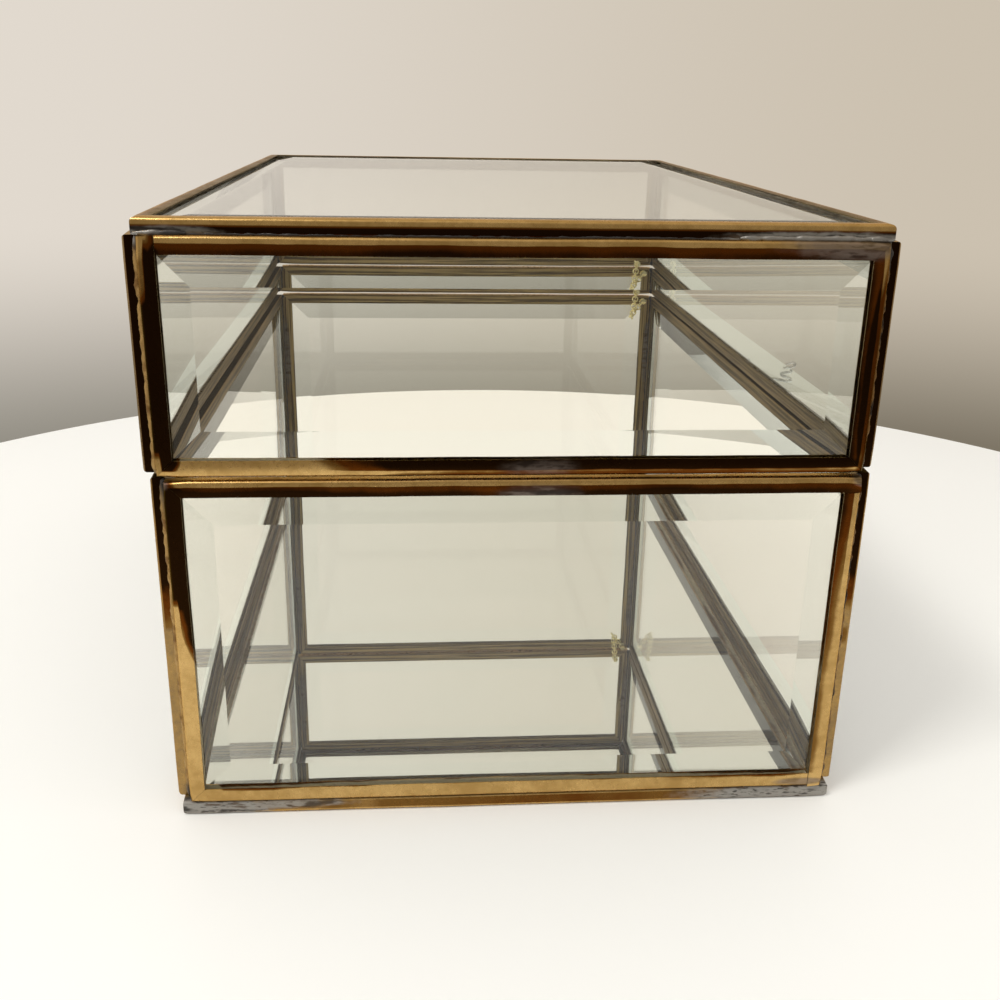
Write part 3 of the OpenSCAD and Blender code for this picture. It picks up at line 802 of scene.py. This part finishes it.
def corner_solder(body):
    """Runs down the four outer corners of a body, in the notch between two panels, as far as the seam."""
    lo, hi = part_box(body + "_corner_solder")
    panel_lo, panel_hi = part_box(body + "_left_came")
    bottom, top = panel_lo[Z] + RUN_SHORT, panel_hi[Z] - RUN_SHORT
    pieces = []
    for x, way_x in ((lo[X] + CORNER_INSET, -1), (hi[X] - CORNER_INSET, 1)):
        for y, way_y in ((lo[Y] + CORNER_INSET, -1), (hi[Y] - CORNER_INSET, 1)):
            run_x, run_y = x + way_x * RUN_OUT, y + way_y * RUN_OUT
            pieces.append(solder_run((run_x, run_y, bottom), (run_x, run_y, top), RUN_R))
            # A drop closes the hole where the folds of four strips meet.
            seam = bottom + DROP_FROM_END if body == "lid" else top - DROP_FROM_END
            pieces.append(solder_drop((x, y, seam), DROP_RADII))
    if body == "lid":
        lo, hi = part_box("lid_top_came")
        # A thin dark bead runs round the seam under the top plate.
        left, right, front, rear = lo[X] + BEAD_IN, hi[X] - BEAD_IN, lo[Y] + BEAD_IN, hi[Y] - BEAD_IN
        ring = [(left, front), (right, front), (right, rear), (left, rear)]
        z = lo[Z] + BEAD_UP
        for p, q in zip(ring, ring[1:] + ring[:1]):
            pieces.append(solder_run((*p, z), (*q, z), BEAD_R, BEAD_WANDER))
        # The ledge in front of it is filled at both ends.
        y, z = lo[Y] - LEDGE_OUT, lo[Z] + LEDGE_UP
        for start, stop, radius in LEDGE_RUNS:
            pieces.append(solder_run((start, y, z), (stop, y, z), radius))
    obj = join(pieces, body + "_corner_runs")
    smooth(obj, 50)
    place(obj, body, "solder_grey", black_solder, body + "_corner_solder")


# Each tack and drop: in from the side of its node, along from the tube's end, and its radii.
TACK_IN, TACK_ALONG, TACK_RADII = 0.25 * MM, 6 * MM, (0.75 * MM, 3.3 * MM, 1.7 * MM)
LEG_IN, LEG_ALONG, LEG_RADII = 0.35 * MM, 1.0 * MM, (0.8 * MM, 1.5 * MM, 1.5 * MM)


def hinge_solder():
    """Tacks under each tube and a drop over each leg of a wire."""
    tacks, drops = [], []
    tack_lo, tack_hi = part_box("base_hinge_solder")
    drop_lo, drop_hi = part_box("lid_hinge_solder")
    for tube in ("front", "middle", "rear"):
        lo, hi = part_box("hinge_tube_" + tube)
        for end, way in ((lo[Y], 1), (hi[Y], -1)):
            tack = (tack_lo[X] + TACK_IN, end + way * TACK_ALONG, (tack_lo[Z] + tack_hi[Z]) / 2)
            tacks.append(solder_drop(tack, TACK_RADII))
            drop = (drop_lo[X] + LEG_IN, end - way * LEG_ALONG, (drop_lo[Z] + drop_hi[Z]) / 2)
            drops.append(solder_drop(drop, LEG_RADII))
    for pieces, body, node, name in ((tacks, "base", "base_hinge_solder", "tube_tacks"),
                                     (drops, "lid", "lid_hinge_solder", "wire_drops")):
        obj = join(pieces, name)
        smooth(obj, 50)
        place(obj, body, "solder_grey", solder, node)


# The radius of the wire's node, and that of the wire made here.
NODE_WIRE_R, WIRE_R = 0.6 * MM, 0.55 * MM
# Each leg of the wire stands this far from the tube's end.
LEG_CLEAR = 1 * MM


def front_wire():
    """The front hinge's wire: a leg up, through the tube, a leg up and a curled tail."""
    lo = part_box("hinge_wire_front")[0]
    tube_lo, tube_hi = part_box("hinge_tube_front")
    x, z = lo[X] + NODE_WIRE_R, lo[Z] + NODE_WIRE_R
    near_y, far_y = tube_lo[Y] - LEG_CLEAR, tube_hi[Y] + LEG_CLEAR
    # Each point's place out from the wire's line in mm, along the box in m, and up in mm.
    spots = [
        (0, near_y, 5.2), (0, near_y, 3), (0, near_y, 0.6), (0, near_y + 0.2 * MM, 0),
        (0, near_y + 2 * MM, 0), (0, (near_y + far_y) / 2, 0), (0, far_y - 2 * MM, 0),
        (0, far_y - 0.2 * MM, 0), (0, far_y, 0.6),
        (0, far_y, 3.2), (0.2, far_y, 4.3), (1.2, far_y, 4.6), (4.5, far_y, 4.6), (7.4, far_y, 4.7),
        (8.9, far_y, 5.2), (8.3, far_y + 0.2 * MM, 6.2), (4.6, far_y + 0.4 * MM, 6.1),
        (4.4, far_y + 0.6 * MM, 7.1), (6.6, far_y + 0.8 * MM, 7.6), (8.9, far_y + 0.9 * MM, 8.1),
        (9.0, far_y + 1 * MM, 9.3), (7.4, far_y + 1 * MM, 9.8), (5.6, far_y + 0.8 * MM, 9.0),
    ]
    obj = drawn([(x + out * MM, y, z + up * MM) for out, y, up in spots], WIRE_R)
    obj.name = obj.data.name = "front_wire"
    smooth(obj, 50)
    place(obj, "lid", "solder_grey", grey_wire, "hinge_wire_front")


corner_solder("base")
corner_solder("lid")
hinge_solder()
front_wire()

# ---------------------------------------------------------------- stage

TABLE_R, TABLE_THICK, TABLE_EDGE = 0.405, 0.02, 0.003
# The middle of the table's top.
TABLE_AT = Vector((MID_X + 0.016, -0.038, 0))
# The backdrop from left to right, high up and where it meets the table, and its unlit front side. It is
# painted lighter to the left and darker low down where it meets the table: painted light and shade.
BACKDROP_HIGH = (0.76, 0.70, 0.625), (0.60, 0.53, 0.43)
BACKDROP_LOW = (0.26, 0.243, 0.205), (0.15, 0.128, 0.09)
BACKDROP_FRONT = (0.36, 0.325, 0.275)
TABLE_WHITE = (0.93, 0.925, 0.89)
# Panes take a little of what is seen through them. This much is given back to the table and the backdrop as
# painted light: the table glows by it and the backdrop is brighter, where seen through glass.
TABLE_GLOW_THROUGH_GLASS, BACKDROP_BOOST_THROUGH_GLASS = (0.19, 0.13, 0.08), 0.18
# The middle of the box, which the lamp points at.
LAMP_AIM = Vector((0, 0, 0.08))
WHITE_LIGHT = (1.0, 0.98, 0.95)


def make_table():
    """A round pale table top, the floor that the box stands on."""
    bpy.ops.object.select_all(action="DESELECT")
    core = TABLE_AT - Vector((0, 0, TABLE_THICK / 2))
    bpy.ops.mesh.primitive_cylinder_add(vertices=256, radius=TABLE_R, depth=TABLE_THICK, location=core)
    table = bpy.context.object
    table.name = "table_top"
    bpy.ops.object.transform_apply(location=True, rotation=True, scale=True)
    modify(table, "BEVEL", width=TABLE_EDGE, segments=3)
    smooth(table, 40)
    f = Finish("table_white")
    through = Term(f, f.nodes.new("ShaderNodeLightPath").outputs["Is Transmission Ray"])
    # The table glows where it is seen through glass: painted light.
    f.surface(f.principled({
        "Base Color": TABLE_WHITE,
        "Roughness": 0.35,
        "Specular IOR Level": 0.2,
        "Emission Color": f.blend(through, (0.0, 0.0, 0.0), TABLE_GLOW_THROUGH_GLASS),
        "Emission Strength": 1.0,
    }))
    coat(table, f.material)


def make_world():
    """A warm grey backdrop for what is seen or mirrored, and plain white light for what is lit."""
    world = bpy.data.worlds.new("studio")
    bpy.context.scene.world = world
    world.use_nodes = True
    f = Finish("studio", world.node_tree)
    way = f.node("ShaderNodeTexCoord", out="Generated")
    # Painted light and shade on the backdrop: lighter to the left, darker low down where it meets the table.
    across = f.ease(f.axis(X, way), -0.4, 0.5)
    low, high = f.blend(across, *BACKDROP_LOW), f.blend(across, *BACKDROP_HIGH)
    wall = f.blend(f.ease(f.axis(Z, way), -0.31, -0.10), low, high)
    # What metal and glass mirror from the front of the studio is its dimmer, unlit side.
    mirrored = f.blend(f.ease(f.axis(Y, way), -0.2, -0.75), wall, BACKDROP_FRONT)
    path = f.nodes.new("ShaderNodeLightPath").outputs
    glossy, through = Term(f, path["Is Glossy Ray"]), Term(f, path["Is Transmission Ray"])
    seen = f.math("MAXIMUM", Term(f, path["Is Camera Ray"]), f.math("MAXIMUM", glossy, through))
    # The backdrop is brighter where seen through glass: painted light.
    shown = {"Color": f.blend(glossy, wall, mirrored), "Strength": through * BACKDROP_BOOST_THROUGH_GLASS + 1}
    backdrop = f.node("ShaderNodeBackground", shown)
    light = f.node("ShaderNodeBackground", {"Color": WHITE_LIGHT, "Strength": 0.91})
    f.surface(f.node("ShaderNodeMixShader", {0: seen, 1: light, 2: backdrop}), "ShaderNodeOutputWorld")


def make_lamp(name, at, size, power, colour):
    data = bpy.data.lights.new(name, "AREA")
    data.shape, data.size, data.energy, data.color = "SQUARE", size, power, colour
    obj = bpy.data.objects.new(name, data)
    bpy.context.collection.objects.link(obj)
    obj.location = at
    obj.rotation_mode = "QUATERNION"
    obj.rotation_quaternion = (LAMP_AIM - Vector(at)).to_track_quat("-Z", "Y")


make_table()
make_world()
make_lamp("window", (-0.85, -0.70, 1.90), 0.45, 15, WHITE_LIGHT)
bpy.context.scene.view_settings.view_transform = "Standard"
